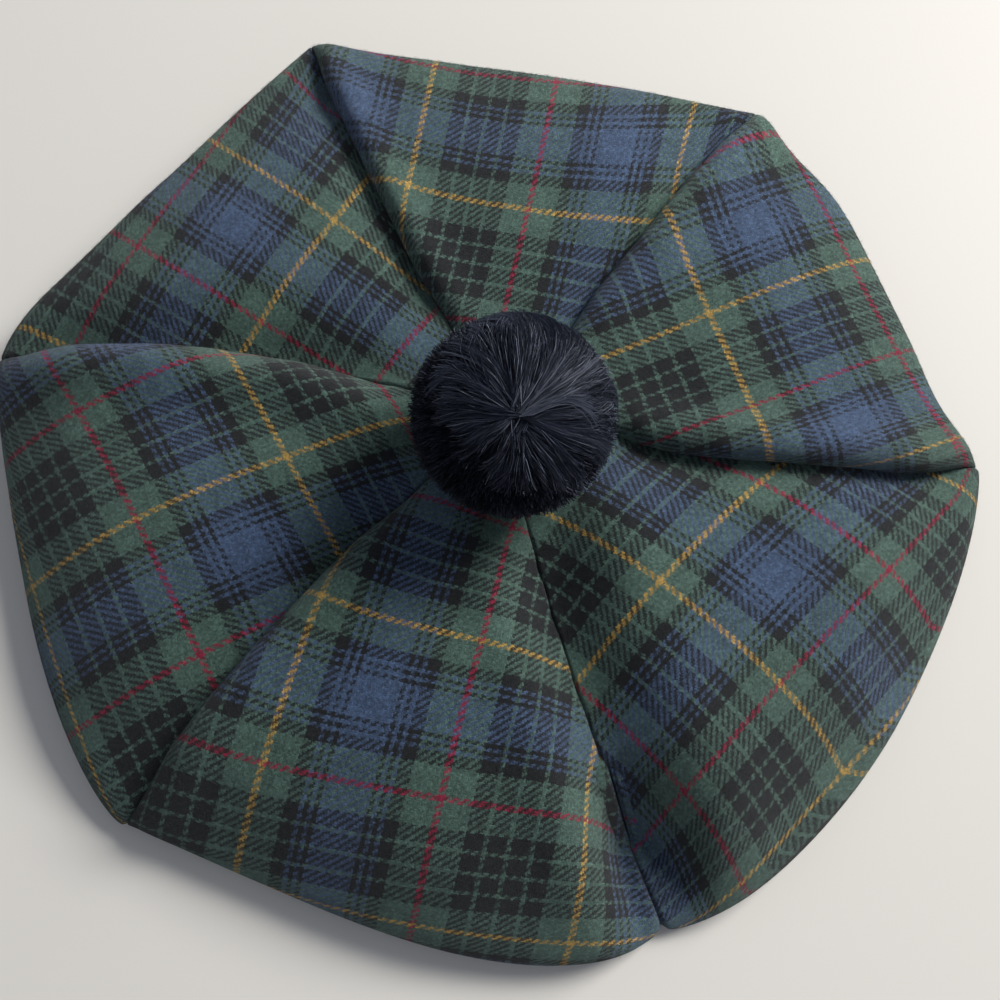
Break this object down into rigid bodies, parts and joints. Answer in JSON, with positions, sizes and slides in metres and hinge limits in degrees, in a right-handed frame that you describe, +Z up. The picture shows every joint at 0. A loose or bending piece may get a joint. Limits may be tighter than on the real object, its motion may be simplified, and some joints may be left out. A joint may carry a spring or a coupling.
{
  "type": "tam o shanter",
  "caption": "Soft wide tartan cap sewn from wedge-shaped cloth gores, with a yarn pompom on the crown and a plain headband round the head opening.",
  "frame": {"origin": "middle of the outline, on the surface that the headband stands on", "axes": "+Z up through the crown, +X to the right and -Y towards the near side of the picture"},
  "size_m": [0.2904, 0.2728, 0.0768],
  "materials": {
    "tartan_wool": "brushed wool twill",
    "headband_cloth": "plain wool twill",
    "pompom_yarn": "cut wool yarn"
  },
  "bodies": {
    "root": {"gore_top": "tartan_wool", "gore_right_far": "tartan_wool", "gore_right_near": "tartan_wool", "gore_near": "tartan_wool", "gore_left_near": "tartan_wool", "gore_left_far": "tartan_wool", "headband": "headband_cloth", "pompom": "pompom_yarn"}
  },
  "joints": []
}
